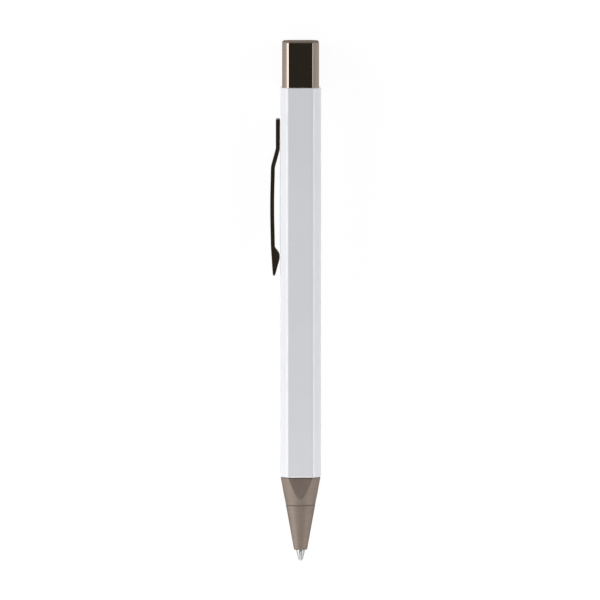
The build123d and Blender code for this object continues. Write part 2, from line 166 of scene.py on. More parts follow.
class Graph:
    """A node tree that is written as Python expressions."""

    def __init__(self, tree: bpy.types.NodeTree) -> None:
        """Empties the tree."""
        self.tree = tree
        tree.nodes.clear()

    def node(self, kind: str, settings: dict, inputs: dict, output: int | str = 0) -> Value:
        """Adds a node.

        Args:
            kind: the node's type.
            settings: the node's own settings, set first.
            inputs: values or links of its sockets, by name or number.
            output: the output to hand back, by name or number.

        Returns:
            That output.
        """
        made = self.tree.nodes.new(kind)
        for name, setting in settings.items():
            setattr(made, name, setting)
        for key, given in inputs.items():
            if isinstance(given, Value):
                self.tree.links.new(given.socket, made.inputs[key])
            else:
                made.inputs[key].default_value = given
        outputs = made.outputs
        return Value(self, outputs[output]) if len(outputs) else Value(self, made.inputs[0])

    def place(self) -> Value:
        """The place on the piece, in the row's frame."""
        return self.node("ShaderNodeTexCoord", {}, {}, "Object")

    def axes(self, vector: Value) -> tuple[Value, Value, Value]:
        """The three numbers of a vector."""
        apart = self.node("ShaderNodeSeparateXYZ", {}, {0: vector}).socket.node
        return tuple(Value(self, out) for out in apart.outputs)

    def noise(self, vector: Value, grains: float, detail: float = 2.0, blur: float = 0.5) -> Value:
        """A soft random cloud round 0.5, by its grains per metre and the layers that refine it."""
        inputs = {"Vector": vector, "Scale": grains, "Detail": detail, "Roughness": blur}
        return self.node("ShaderNodeTexNoise", {}, inputs)

    def streaks(
        self,
        vector: Value,
        width: float,
        length: float,
        grain: Grain = Grain.ALONG,
        **layers: float,
    ) -> Value:
        """Random marks that run one way.

        Args:
            vector: where to read them.
            width: how wide a mark is.
            length: how long it is.
            grain: which way the marks run.
            layers: the detail and the blur of the noise.

        Returns:
            A value round 0.5 that changes fast across the marks.
        """
        thin, long = 1 / width, 1 / length
        scale = (thin, long, thin) if grain is Grain.ALONG else (long, thin, long)
        stretched = self.node("ShaderNodeMapping", {}, {"Vector": vector, "Scale": scale})
        return self.noise(stretched, 1.0, **layers)

    def specks(self, vector: Value, grains: float) -> Value:
        """The distance to the nearest of many random points, in grains."""
        inputs = {"Vector": vector, "Scale": grains}
        return self.node("ShaderNodeTexVoronoi", {}, inputs, "Distance")

    def blend(self, share: Value | float, first: Value | Colour, second: Value | Colour) -> Value:
        """Mixes two colours.

        Args:
            share: how much of the second one.
            first: one colour.
            second: the other colour.

        Returns:
            The mix.
        """
        pair = [c if isinstance(c, Value) else (*c, 1.0) for c in (first, second)]
        settings = {"data_type": "RGBA", "clamp_factor": True}
        return self.node("ShaderNodeMix", settings, {0: share, 6: pair[0], 7: pair[1]}, 2)

    def bump(self, height: Value, depth: float) -> Value:
        """The normal of a relief whose height goes from 0 to 1, by its depth in metres."""
        inputs = {"Strength": 1.0, "Distance": depth, "Height": height}
        return self.node("ShaderNodeBump", {}, inputs)

    def glossy(self, **sockets: Value | Colour | float) -> Value:
        """A Principled shader.

        Args:
            sockets: its values or links, named with underscores for spaces.

        Returns:
            The shader.
        """
        inputs = {}
        for name, given in sockets.items():
            four = isinstance(given, tuple) and len(given) == 3
            inputs[name.replace("_", " ")] = (*given, 1.0) if four else given
        return self.node("ShaderNodeBsdfPrincipled", {}, inputs)


@dataclass(frozen=True)
class Finish:
    """What a surface is made of. Each kind of finish draws its own shader.

    Attributes:
        name: the material's name.
        slot: the record's material slot; not used here.
        colour: the main colour.
        roughness: how dull the surface is on average.
    """

    name: str
    slot: str
    colour: Colour
    roughness: float

    def shader(self, graph: Graph) -> Value:
        """Draws the surface in an empty graph, and hands back the shader."""
        raise NotImplementedError

    def material(self) -> bpy.types.Material:
        """Makes the finish into a material, once.

        Returns:
            The material.
        """
        known = bpy.data.materials.get(self.name)
        if known:
            return known
        made = bpy.data.materials.new(self.name)
        made.use_nodes = True
        graph = Graph(made.node_tree)
        graph.node("ShaderNodeOutputMaterial", {}, {"Surface": self.shader(graph)})
        return made

    def dress(self, piece: bpy.types.Object) -> bpy.types.Object:
        """Puts the finish on a piece.

        Args:
            piece: a new piece or a CAD node.

        Returns:
            The piece.
        """
        piece.data.materials.clear()
        piece.data.materials.append(self.material())
        return piece

    def shaded(self, graph: Graph, share: Value, spread: float) -> Value:
        """Makes the main colour a little darker or lighter from place to place.

        Args:
            graph: the graph to draw in.
            share: 0 where it is darkest, 1 where it is lightest.
            spread: how much darker or lighter it gets.

        Returns:
            The colour.
        """
        dark = tuple(c * (1 - spread) for c in self.colour)
        light = tuple(min(1.0, c * (1 + spread)) for c in self.colour)
        return graph.blend(share, dark, light)


@dataclass(frozen=True)
class GlossLacquer(Finish):
    """Sprayed gloss lacquer: a faint orange peel under a clear coat, with hairline polish marks.

    Attributes:
        peel: how wide a grain of the orange peel is.
        peel_depth: how deep it is.
        hairline: how wide a polish mark is.
        hairline_length: how long it is.
        scuff_span: the stretch of the marks' noise over which they come to show.
        scuff_height: how much they add to the peel's relief.
        scuff_dulling: how much duller they are.
        scuff_wear: how much of the clear coat they take away.
        cloud: how wide a cloud in the colour is.
        cloud_spread: how much lighter or darker it is.
        cloud_dulling: how much duller or clearer it is.
        fleck: how far apart flecks of dust lie.
        fleck_span: the share of that distance over which a fleck comes to show.
        fleck_share: how strong a fleck is.
        fleck_colour: its colour.
        coat: how strong the clear coat is.
        coat_roughness: how dull it is.
        index: the lacquer's index of refraction.
    """

    peel: float = 0.9 * MM
    peel_depth: float = 0.0006 * MM
    hairline: float = 0.05 * MM
    hairline_length: float = 9.0 * MM
    scuff_span: Span = (0.62, 0.72)
    scuff_height: float = 0.1
    scuff_dulling: float = 0.08
    scuff_wear: float = 0.25
    cloud: float = 14.0 * MM
    cloud_spread: float = 0.012
    cloud_dulling: float = 0.1
    fleck: float = 1.7 * MM
    fleck_span: Span = (0.035, 0.02)
    fleck_share: float = 0.2
    fleck_colour: Colour = (0.55, 0.55, 0.56)
    coat: float = 0.9
    coat_roughness: float = 0.05
    index: float = 1.5

    def shader(self, graph: Graph) -> Value:
        """Draws the lacquer.

        Args:
            graph: the empty graph to draw in.

        Returns:
            The shader.
        """
        place = graph.place()
        peel = graph.noise(place, 1 / self.peel, detail=1.0)
        marks = graph.streaks(place, self.hairline, self.hairline_length)
        scuffs = marks.ramp(self.scuff_span)
        cloud = graph.noise(place, 1 / self.cloud, detail=3.0)
        flecks = graph.specks(place, 1 / self.fleck).ramp(self.fleck_span)
        colour = self.shaded(graph, cloud.ramp(NOISE_SPAN), self.cloud_spread)
        dulling = cloud.swing(self.cloud_dulling)
        return graph.glossy(
            Base_Color=graph.blend(flecks * self.fleck_share, colour, self.fleck_colour),
            Roughness=self.roughness + dulling + scuffs * self.scuff_dulling,
            Coat_Weight=self.coat - scuffs * self.scuff_wear,
            Coat_Roughness=self.coat_roughness,
            IOR=self.index,
            Normal=graph.bump(peel + scuffs * self.scuff_height, self.peel_depth),
        )


@dataclass(frozen=True)
class PlatedMetal(Finish):
    """Dark plating on metal, rubbed in one direction, with fine pits and a few longer marks.

    Attributes:
        grain: which way the marks run.
        mark: how wide a mark is.
        mark_length: how long it is.
        depth: how deep the marks are.
        spread: how much lighter or darker they make the colour.
        rim: the share of light that it throws back along its limb, where bare metal would shine.
        mark_dulling: how much duller or clearer the marks are.
        broad_width: how many times as wide a broad mark is.
        broad_length: how many times as long it is.
        fine_share: how much of the relief the fine marks are.
        cloud: how wide a cloud in the plating is.
        cloud_span: the stretch of a cloud over which pits come to show.
        cloud_dulling: how much duller or clearer a cloud is.
        pit: how far apart pits lie.
        pit_span: the share of that distance over which a pit comes to show.
        pit_share: how strong a pit's colour is.
        pit_shade: how dark that colour is.
        pit_depth: how deep a pit is, in marks.
    """

    grain: Grain = Grain.ALONG
    mark: float = 0.06 * MM
    mark_length: float = 4.0 * MM
    depth: float = 0.0006 * MM
    spread: float = 0.12
    rim: float = 0.25
    mark_dulling: float = 0.22
    broad_width: float = 5.0
    broad_length: float = 3.0
    fine_share: float = 0.6
    cloud: float = 3.0 * MM
    cloud_span: Span = (0.5, 0.7)
    cloud_dulling: float = 0.1
    pit: float = 0.35 * MM
    pit_span: Span = (0.1, 0.04)
    pit_share: float = 0.5
    pit_shade: float = 0.4
    pit_depth: float = 0.3

    def shader(self, graph: Graph) -> Value:
        """Draws the plating.

        Args:
            graph: the empty graph to draw in.

        Returns:
            The shader.
        """
        place = graph.place()
        sizes = (
            (self.mark, self.mark_length),
            (self.broad_width * self.mark, self.broad_length * self.mark_length),
        )
        fine, broad = (
            graph.streaks(place, width, length, self.grain, detail=3.0, blur=0.6)
            for width, length in sizes
        )
        cloud = graph.noise(place, 1 / self.cloud, detail=4.0)
        pits = graph.specks(place, 1 / self.pit).ramp(self.pit_span)
        marks = fine * self.fine_share + broad * (1 - self.fine_share)
        colour = self.shaded(graph, marks.ramp(NOISE_SPAN), self.spread)
        pitted = pits * cloud.ramp(self.cloud_span) * self.pit_share
        dulling = marks.swing(self.mark_dulling) + cloud.swing(self.cloud_dulling)
        return graph.glossy(
            Base_Color=graph.blend(pitted, colour, tuple(c * self.pit_shade for c in self.colour)),
            Metallic=1.0,
            Roughness=self.roughness + dulling,
            Specular_Tint=(self.rim, self.rim, self.rim),
            Normal=graph.bump(marks - pits * self.pit_depth, self.depth),
        )


@dataclass(frozen=True)
class BrightMetal(Finish):
    """Bare metal as it left the lathe or the drawing die.

    Attributes:
        ring: how wide a tool mark is.
        ring_length: how many times as long it is.
        ring_share: how much of the colour's change the tool marks make.
        ring_dulling: how much duller or clearer they are.
        depth: how deep they are.
        rim: the share of light that it throws back along its limb.
        cloud: how wide a cloud in the colour is.
        cloud_dulling: how much duller or clearer it is.
        spread: how much lighter or darker the colour gets.
    """

    ring: float = 0.05 * MM
    ring_length: float = 20.0
    ring_share: float = 0.6
    ring_dulling: float = 0.15
    depth: float = 0.0008 * MM
    rim: float = 0.5
    cloud: float = 0.8 * MM
    cloud_dulling: float = 0.1
    spread: float = 0.1

    def shader(self, graph: Graph) -> Value:
        """Draws the metal.

        Args:
            graph: the empty graph to draw in.

        Returns:
            The shader.
        """
        place = graph.place()
        rings = graph.streaks(place, self.ring, self.ring_length * self.ring, Grain.AROUND)
        cloud = graph.noise(place, 1 / self.cloud, detail=4.0)
        shade = rings * self.ring_share + cloud * (1 - self.ring_share)
        dulling = rings.swing(self.ring_dulling) + cloud.swing(self.cloud_dulling)
        return graph.glossy(
            Base_Color=self.shaded(graph, shade, self.spread),
            Metallic=1.0,
            Roughness=self.roughness + dulling,
            Specular_Tint=(self.rim, self.rim, self.rim),
            Normal=graph.bump(rings, self.depth),
        )


@dataclass(frozen=True)
class MouldedPlastic(Finish):
    """Plastic with a fine moulded skin.

    Attributes:
        skin: how wide a grain of the skin is.
        skin_dulling: how much duller or clearer it is.
        depth: how deep it is.
        clear: how much light goes through.
        flow: how wide a flow mark is.
        flow_length: how long it is.
        flow_spread: how much lighter or darker it is.
        index: the plastic's index of refraction.
    """

    skin: float = 0.15 * MM
    skin_dulling: float = 0.2
    depth: float = 0.002 * MM
    clear: float = 0.0
    flow: float = 1.0 * MM
    flow_length: float = 5.0 * MM
    flow_spread: float = 0.06
    index: float = 1.49

    def shader(self, graph: Graph) -> Value:
        """Draws the plastic.

        Args:
            graph: the empty graph to draw in.

        Returns:
            The shader.
        """
        place = graph.place()
        skin = graph.noise(place, 1 / self.skin, detail=3.0)
        flow = graph.streaks(place, self.flow, self.flow_length)
        return graph.glossy(
            Base_Color=self.shaded(graph, flow.ramp(NOISE_SPAN), self.flow_spread),
            Roughness=self.roughness + skin.swing(self.skin_dulling),
            IOR=self.index,
            Transmission_Weight=self.clear,
            Normal=graph.bump(skin, self.depth),
        )


WHITE_LACQUER = GlossLacquer("gloss_lacquer", "white_lacquer", (0.80, 0.808, 0.845), 0.2)
POLISHED_GUNMETAL = PlatedMetal(
    "polished_gunmetal", "gunmetal", (0.31, 0.262, 0.225), 0.12, spread=0.08
)
SATIN_GUNMETAL = PlatedMetal(
    "satin_gunmetal", "gunmetal", (0.29, 0.238, 0.203), 0.66, grain=Grain.AROUND, depth=0.003 * MM
)
LAPPED_GUNMETAL = PlatedMetal("lapped_gunmetal", "gunmetal", (0.29, 0.235, 0.205), 0.45)
CLIP_GUNMETAL = PlatedMetal(
    "strip_gunmetal", "clip_gunmetal", (0.212, 0.16, 0.124), 0.28, spread=0.16
)
NICKEL_SILVER = BrightMetal("drawn_nickel", "nickel_silver", (0.47, 0.47, 0.465), 0.44, rim=0.3)
CARBIDE = BrightMetal("ground_carbide", "carbide", (0.45, 0.45, 0.46), 0.22, ring=0.02 * MM)
SPRING_STEEL = BrightMetal("drawn_wire", "spring_steel", (0.55, 0.55, 0.56), 0.24)
GUIDE_PLASTIC = MouldedPlastic("natural_acetal", "guide_plastic", (0.72, 0.72, 0.69), 0.45)
CAM_PLASTIC = MouldedPlastic("black_acetal", "cam_plastic", (0.045, 0.045, 0.05), 0.4)
TUBE_PLASTIC = MouldedPlastic(
    "clear_tube", "tube_plastic", (0.80, 0.83, 0.86), 0.25, depth=0.0006 * MM, clear=0.7
)
BLUE_INK = MouldedPlastic("oil_ink", "blue_ink", (0.008, 0.02, 0.16), 0.15, depth=0.0003 * MM)


@dataclass(frozen=True)
class Corner:
    """A corner of an outline.

    Attributes:
        across: its distance from the axis, or its sideways place.
        along: its place along the pen.
        radius: how far it is rounded.
        steps: how many straight bits the rounding has.
    """

    across: float
    along: float
    radius: float = 0.0
    steps: int = 8

    def points(self, before: "Corner", after: "Corner") -> list[Vector]:
        """The corner as flat points, with its rounding as an arc.

        Args:
            before: the corner before it.
            after: the corner after it.

        Returns:
            The points, in order.
        """
        here = Vector((self.across, self.along))
        if not self.radius:
            return [here]
        back = (Vector((before.across, before.along)) - here).normalized()
        on = (Vector((after.across, after.along)) - here).normalized()
        half = back.angle(on) / 2
        centre = here + (back + on).normalized() * (self.radius / math.sin(half))
        start = here + back * (self.radius / math.tan(half)) - centre
        turn = start.angle_signed(here + on * (self.radius / math.tan(half)) - centre)
        points = []
        for step in range(self.steps + 1):
            angle = -turn * step / self.steps
            cos, sin = math.cos(angle), math.sin(angle)
            spoke = Vector((start.x * cos - start.y * sin, start.x * sin + start.y * cos))
            points.append(centre + spoke)
        return points


def outline(corners: Sequence[Corner]) -> list[Vector]:
    """A closed outline.

    Args:
        corners: its corners, in order.

    Returns:
        The outline's flat points.
    """
    points = []
    for i, corner in enumerate(corners):
        points += corner.points(corners[i - 1], corners[(i + 1) % len(corners)])
    return points


class Bench:
    """A mesh on the bench, in edit mode, and the tools that shape it."""

    def __init__(self, name: str) -> None:
        """Takes the primitive that was just added, and puts its place into its mesh.

        Args:
            name: the piece's name.
        """
        self.piece = bpy.context.object
        self.piece.name = name
        self.piece.data.name = name
        bpy.ops.object.transform_apply(location=True, rotation=True, scale=True)
        bpy.ops.object.mode_set(mode="EDIT")
        bpy.ops.mesh.select_mode(type=Element.VERT.name)

    @classmethod
    def block(cls, name: str, low: Vector, high: Vector) -> "Bench":
        """Starts from a box.

        Args:
            name: the piece's name.
            low: its lowest corner.
            high: its highest corner.

        Returns:
            The bench.
        """
        bpy.ops.object.select_all(action="DESELECT")
        bpy.ops.mesh.primitive_cube_add(size=1, location=(low + high) / 2, scale=high - low)
        return cls(name)

    @classmethod
    def drawn(cls, name: str, points: Sequence[Vector]) -> "Bench":
        """Draws a closed outline, point by point.

        Args:
            name: the piece's name.
            points: the outline, in the row's frame.

        Returns:
            The bench, with every point selected.
        """
        bpy.ops.object.select_all(action="DESELECT")
        bpy.ops.mesh.primitive_plane_add(size=MM)
        bench = cls(name)
        bpy.ops.mesh.merge(type="CENTER")
        bpy.ops.transform.translate(value=points[0])
        for here, there in zip(points, points[1:]):
            bpy.ops.mesh.extrude_region_move(TRANSFORM_OT_translate={"value": there - here})
        ends = {0, len(points) - 1}
        bench.pick(Element.VERT, lambda vert: vert.index in ends)
        bpy.ops.mesh.edge_face_add()
        bpy.ops.mesh.select_all(action="SELECT")
        return bench

    @classmethod
    def slab(cls, name: str, points: Sequence[Vector], run: Vector) -> "Bench":
        """Draws a closed outline out into a slab.

        Args:
            name: the piece's name.
            points: the outline, in the row's frame.
            run: how far and which way it is drawn out.

        Returns:
            The bench.
        """
        bench = cls.drawn(name, points)
        bpy.ops.mesh.edge_face_add()
        bpy.ops.mesh.extrude_region_move(TRANSFORM_OT_translate={"value": run})
        return bench.closed()

    @classmethod
    def turned(cls, name: str, corners: Sequence[Corner], steps: int = ROUND_TURN) -> "Bench":
        """Turns an outline about the pen's axis.

        Args:
            name: the piece's name.
            corners: the outline, across and along the axis.
            steps: how many faces go round.

        Returns:
            The bench.
        """
        bench = cls.drawn(name, [Vector((p.x, p.y, AXIS_Z)) for p in outline(corners)])
        bpy.ops.mesh.spin(steps=steps, angle=FULL_TURN, center=AXIS, axis=ALONG)
        return bench.closed()

    @classmethod
    def rod(
        cls, name: str, radius: float, foot: float, head: float, steps: int = ROUND_TURN
    ) -> "Bench":
        """Turns a plain round rod about the pen's axis, from foot to head, and leaves edit mode."""
        ends = [Corner(0, foot), Corner(radius, foot), Corner(radius, head), Corner(0, head)]
        return cls.turned(name, ends, steps).leave()

    @classmethod
    def octagon(
        cls,
        name: str,
        low: Vector,
        high: Vector,
        chamfer: float,
        radius: float,
        crown: float = 0.0,
        rim: float = 0.0,
    ) -> "Bench":
        """Shapes a box into an eight-sided bar along the pen, with rounded edges.

        Args:
            name: the piece's name.
            low: its lowest corner.
            high: its highest corner.
            chamfer: how much each corner of the square takes off a side.
            radius: how far the long edges are rounded.
            crown: how full the corners are, from 0 for flat ones to 1 for round ones.
            rim: how far the end towards the button is rounded.

        Returns:
            The bench.
        """
        bench = cls.block(name, low, high)
        profile = FLAT_PROFILE + (ROUND_PROFILE - FLAT_PROFILE) * crown
        segments = CORNER_SEGMENTS if crown else 1
        bench.pick(Element.EDGE, runs_along).bevel(chamfer, segments, profile)
        if rim:
            bench.pick(Element.FACE, lambda face: face.normal.y > STRAIGHT)
            bench.bevel(rim, EDGE_SEGMENTS)
        setback = radius * math.tan(EIGHTH_TURN / 2)
        return bench.pick(Element.EDGE, is_long_edge).bevel(setback, EDGE_SEGMENTS)

    def pick(self, kind: Element, test: Callable[..., bool]) -> "Bench":
        """Selects what passes a test, and nothing else.

        Args:
            kind: what to select.
            test: says of a vertex, edge or face if it is wanted.

        Returns:
            The bench.
        """
        bpy.ops.mesh.select_mode(type=kind.name)
        bpy.ops.mesh.select_all(action="DESELECT")
        mesh = bmesh.from_edit_mesh(self.piece.data)
        mesh.verts.index_update()
        mesh.normal_update()
        for element in getattr(mesh, kind.value):
            if test(element):
                element.select_set(True)
        mesh.select_flush_mode()
        bmesh.update_edit_mesh(self.piece.data)
        return self

    def bevel(self, width: float, segments: int, profile: float = ROUND_PROFILE) -> "Bench":
        """Bevels the picked edges, with so many faces across and a section from flat to round."""
        bpy.ops.mesh.bevel(offset=width, segments=segments, affect="EDGES", profile=profile)
        return self

    def bisect(self, place: Vector, normal: Vector) -> "Bench":
        """Cuts off what lies beyond a plane, and closes the cut.

        Args:
            place: a point of the plane.
            normal: the way that is cut off.

        Returns:
            The bench.
        """
        bpy.ops.mesh.select_all(action="SELECT")
        bpy.ops.mesh.bisect(
            plane_co=place,
            plane_no=normal,
            use_fill=True,
            clear_outer=True,
            threshold=MERGE_DISTANCE,
        )
        return self

    def closed(self) -> "Bench":
        """Merges doubles, drops loose edges and turns all faces outwards.

        Returns:
            The bench.
        """
        bpy.ops.mesh.select_mode(type=Element.VERT.name)
        bpy.ops.mesh.select_all(action="SELECT")
        bpy.ops.mesh.remove_doubles(threshold=MERGE_DISTANCE)
        bpy.ops.mesh.delete_loose()
        bpy.ops.mesh.select_all(action="SELECT")
        bpy.ops.mesh.normals_make_consistent(inside=False)
        return self

    def hold(self) -> None:
        """Leaves edit mode, with this piece active and nothing else selected."""
        bpy.ops.object.mode_set(mode="OBJECT")
        bpy.ops.object.select_all(action="DESELECT")
        bpy.context.view_layer.objects.active = self.piece
        self.piece.select_set(True)

    def merge(self, other: "Bench", how: Merge) -> "Bench":
        """Adds another shape to this one, cuts it out or keeps what they share.

        Args:
            other: the other bench, which is used up.
            how: what to do with it.

        Returns:
            The bench.
        """
        self.hold()
        modifier = self.piece.modifiers.new("merge", "BOOLEAN")
        modifier.operation = how.value
        modifier.solver = "EXACT"
        modifier.object = other.piece
        bpy.ops.object.modifier_apply(modifier=modifier.name)
        bpy.data.objects.remove(other.piece)
        bpy.ops.object.mode_set(mode="EDIT")
        return self.closed()

    def leave(self) -> "Bench":
        """Leaves edit mode, so that another bench can start."""
        bpy.ops.object.mode_set(mode="OBJECT")
        return self

    def done(self, finish: Finish, sharp: float = 32.0) -> bpy.types.Object:
        """Smooths the shading and dresses the piece.

        Args:
            finish: what the surface is made of.
            sharp: the angle in degrees from which an edge stays sharp.

        Returns:
            The finished piece.
        """
        self.hold()
        bpy.ops.object.shade_smooth_by_angle(angle=math.radians(sharp))
        weighted = self.piece.modifiers.new("normals", "WEIGHTED_NORMAL")
        weighted.keep_sharp = True
        bpy.ops.object.modifier_apply(modifier=weighted.name)
        return finish.dress(self.piece)

    def accent(
        self, finish: Finish, test: Callable[[bmesh.types.BMFace], bool]
    ) -> bpy.types.Object:
        """Gives some faces of a finished piece another finish.

        Args:
            finish: what those faces are made of.
            test: says of a face if it is one of them.

        Returns:
            The piece.
        """
        self.piece.data.materials.append(finish.material())
        self.piece.active_material_index = len(self.piece.data.materials) - 1
        bpy.ops.object.mode_set(mode="EDIT")
        self.pick(Element.FACE, test)
        bpy.ops.object.material_slot_assign()
        bpy.ops.object.mode_set(mode="OBJECT")
        return self.piece


def runs_along(edge: bmesh.types.BMEdge) -> bool:
    """True for an edge that runs along the pen."""
    run = edge.verts[1].co - edge.verts[0].co
    return abs(run.normalized().y) > STRAIGHT


def is_long_edge(edge: bmesh.types.BMEdge) -> bool:
    """True for a sharp edge that runs along the pen, or over its rim."""
    run = edge.verts[1].co - edge.verts[0].co
    return abs(run.normalized().y) > LEANING and edge.calc_face_angle(0.0) > EIGHTH_TURN / 2


def faces_end(face: bmesh.types.BMFace) -> bool:
    """True for a face across the pen's axis."""
    return abs(face.normal.y) > STRAIGHT


def grown(low: Vector, high: Vector, by: float) -> tuple[Vector, Vector]:
    """A box with its sides, but not its ends, moved out, or in where the distance is below 0."""
    side = Vector((by, 0, by))
    return low - side, high + side


def report(piece: bpy.types.Object, body: str, *nodes: str) -> bpy.types.Object:
    """Puts a finished piece on its body in place of its CAD nodes, and logs it.

    Args:
        piece: the piece.
        body: the CAD body that it moves with.
        nodes: the CAD nodes that it stands for.

    Returns:
        The piece.
    """
    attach(piece, body)
    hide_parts(*nodes)
    LOG.info("%s on %s: %d faces", piece.name, body, len(piece.data.polygons))
    return piece


@dataclass
class Barrel:
    """The lacquered tube with its nose collar and the guide inside.

    Attributes:
        chamfer: how much each corner takes off a side of the tube's square section.
        edge_radius: how far the long edges are rounded.
        rim_radius: how far the ends are rounded.
        wall: the tube's wall.
        slot_width: the clip's slot across the pen.
        slot_length: the clip's slot along the pen.
        slot_drop: the slot's upper end below the clip's top.
        collar_inset: how far the collar's flats lie inside the tube's outline.
        corner_inset: how far its corners do.
        neck: the height of the shadow gap between tube and collar.
        facet_length: how far the four facets reach from the tube.
        facet_relief: how far the facets stand off the round part.
        facet_area: the least area that a facet has.
        crease: the angle in degrees from which the collar's edges stay sharp.
        parting_diameter: the collar's lower end.
        parting_break: the broken edge there.
        bore: the collar's bore.
        fit: the gap round the spigot in the tube.
        spigot_radius: how far the spigot's long edges are rounded.
    """

    chamfer: float = 2.12 * MM
    edge_radius: float = 1.1 * MM
    rim_radius: float = 0.25 * MM
    wall: float = 0.5 * MM
    slot_width: float = 3.3 * MM
    slot_length: float = 1.1 * MM
    slot_drop: float = 0.75 * MM
    collar_inset: float = 0.22 * MM
    corner_inset: float = 0.07 * MM
    neck: float = 0.25 * MM
    facet_length: float = 6.15 * MM
    facet_relief: float = 0.03 * MM
    facet_area: float = 4.2 * MM * MM
    crease: float = 12.0
    parting_diameter: float = 7.92 * MM
    parting_break: float = 0.12 * MM
    bore: float = 6.2 * MM
    fit: float = 0.03 * MM
    spigot_radius: float = 0.2 * MM

    def leg(self, inset: float) -> float:
        """The chamfer of the section once it is moved inwards."""
        return self.chamfer - (2 - math.sqrt(2)) * inset

    def tube(self) -> bpy.types.Object:
        """Models the tube: bored, rounded at both rims, with the clip's slot.

        Returns:
            The piece.
        """
        low, high = BARREL_LOW, BARREL_HIGH
        bench = Bench.octagon("lacquered_barrel", low, high, self.chamfer, self.edge_radius)
        bench.pick(Element.FACE, faces_end).bevel(self.rim_radius, RIM_SEGMENTS)
        bench.pick(Element.FACE, faces_end)
        bpy.ops.mesh.inset(thickness=self.wall - self.rim_radius)
        bpy.ops.mesh.delete(type="FACE")
        bench.pick(Element.EDGE, lambda edge: edge.is_boundary)
        bpy.ops.mesh.bridge_edge_loops()
        bench.closed().leave()
        clip_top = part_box("clip")[1].y
        slot_low = Vector((low.x - self.wall, clip_top - self.slot_drop - self.slot_length, AXIS_Z))
        slot_high = Vector((low.x + 2 * self.wall, clip_top - self.slot_drop, AXIS_Z))
        half = Vector((0, 0, self.slot_width / 2))
        slot = Bench.block("slot", slot_low - half, slot_high + half).leave()
        return bench.merge(slot, Merge.CUT).done(WHITE_LACQUER)

    def collar_radius(self, along: float) -> float:
        """Half the collar across its facets, which taper down to the parting line.

        Args:
            along: the place along the pen.

        Returns:
            The distance from the axis to a facet.
        """
        foot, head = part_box("nose_collar")[0].y, BARREL_LOW.y
        top = BARREL_HIGH.x - self.collar_inset
        bottom = self.parting_diameter / 2
        return bottom + (top - bottom) * (along - foot) / (head - foot)

    def collar(self) -> bpy.types.Object:
        """Models the collar: a cone cut by four facets, with a spigot in the tube.

        Returns:
            The piece.
        """
        low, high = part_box("nose_collar")
        foot, head = low.y, BARREL_LOW.y
        facet_foot = head - self.facet_length
        corner = (2 * BARREL_HIGH.x - self.chamfer) / math.sqrt(2) - self.corner_inset
        neck_foot = head - self.neck
        share = (neck_foot - facet_foot) / self.facet_length
        flank = self.collar_radius(facet_foot)
        bench = Bench.turned(
            "satin_collar",
            [
                Corner(0, foot),
                Corner(self.collar_radius(foot) - self.parting_break, foot),
                Corner(self.collar_radius(foot + self.parting_break), foot + self.parting_break),
                Corner(flank, facet_foot),
                Corner(flank + (corner - flank) * share, neck_foot),
                Corner(0, neck_foot),
            ],
            FINEST_TURN,
        )
        slope = (self.collar_radius(head) - self.collar_radius(foot)) / (head - foot)
        for out in (Vector((1, 0, 0)), Vector((-1, 0, 0)), Vector((0, 0, 1)), Vector((0, 0, -1))):
            place = AXIS + out * (self.collar_radius(foot) + self.facet_relief) + ALONG * foot
            bench.bisect(place, out - ALONG * slope)
        bench.closed().leave()
        inset = self.wall + self.fit
        spigot_low = Vector((BARREL_LOW.x, neck_foot - self.neck, BARREL_LOW.z))
        spigot_high = Vector((BARREL_HIGH.x, high.y, BARREL_HIGH.z))
        spigot = Bench.octagon(
            "spigot", *grown(spigot_low, spigot_high, -inset), self.leg(inset), self.spigot_radius
        ).leave()
        bench.merge(spigot, Merge.ADD).leave()
        hole = Bench.rod("hole", self.bore / 2, foot - self.neck, high.y + self.neck)
        bench.merge(hole, Merge.CUT).done(SATIN_GUNMETAL, self.crease)
        return bench.accent(LAPPED_GUNMETAL, lambda face: self.is_facet(face, foot, neck_foot))

    def is_facet(self, face: bmesh.types.BMFace, foot: float, head: float) -> bool:
        """Tells one of the four flat facets of the collar's flank.

        Args:
            face: a face of the collar.
            foot: the flank's end towards the point.
            head: its end towards the tube.

        Returns:
            True for a facet.
        """
        middle = face.calc_center_median().y
        square_on = max(abs(face.normal.x), abs(face.normal.z)) > NEARLY_STRAIGHT
        return square_on and foot < middle < head and face.calc_area() > self.facet_area

    def build(self) -> None:
        """Builds the pieces that belong to the barrel."""
        report(self.tube(), "barrel", "barrel_tube")
        report(self.collar(), "barrel", "nose_collar")
        GUIDE_PLASTIC.dress(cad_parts["cam_guide"])


